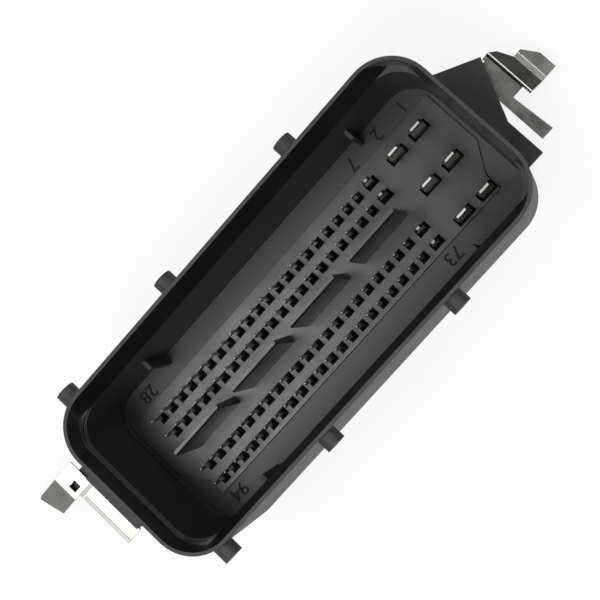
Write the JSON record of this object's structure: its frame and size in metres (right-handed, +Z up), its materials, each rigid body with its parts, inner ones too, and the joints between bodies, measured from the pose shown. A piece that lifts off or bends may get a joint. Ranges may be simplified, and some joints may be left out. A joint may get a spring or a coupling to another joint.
{
  "type": "engine control unit pin header",
  "caption": "Deep rounded black connector shroud with a keyed contact carrier, rows of signal pins, tab pins, power blades, guard fins and a metal clip in the ear at each end.",
  "frame": {"origin": "on the circuit-board face, under the middle of the shroud", "axes": "+X along the header toward the power blades, +Z up out of the mating face"},
  "size_m": [0.1148, 0.0368, 0.0321],
  "materials": {
    "shroud_plastic": "fine satin black",
    "carrier_plastic": "fine satin black",
    "tinned_contact": "bright tin plate over copper alloy",
    "clip_steel": "plain tinned sheet"
  },
  "bodies": {
    "root": {"shroud": "shroud_plastic", "contact_carrier": "carrier_plastic", "tail_plate": "carrier_plastic", "signal_pins_row_1": "tinned_contact", "signal_pins_row_2": "tinned_contact", "signal_pins_row_3": "tinned_contact", "signal_pins_row_4": "tinned_contact", "tab_pin_1": "tinned_contact", "tab_pin_2": "tinned_contact", "tab_pin_3": "tinned_contact", "tab_pin_4": "tinned_contact", "power_blade_1": "tinned_contact", "power_blade_2": "tinned_contact", "power_blade_3": "tinned_contact", "power_blade_4": "tinned_contact", "power_blade_5": "tinned_contact", "power_blade_6": "tinned_contact", "hook_clip": "clip_steel", "plate_clip": "clip_steel"}
  },
  "joints": []
}
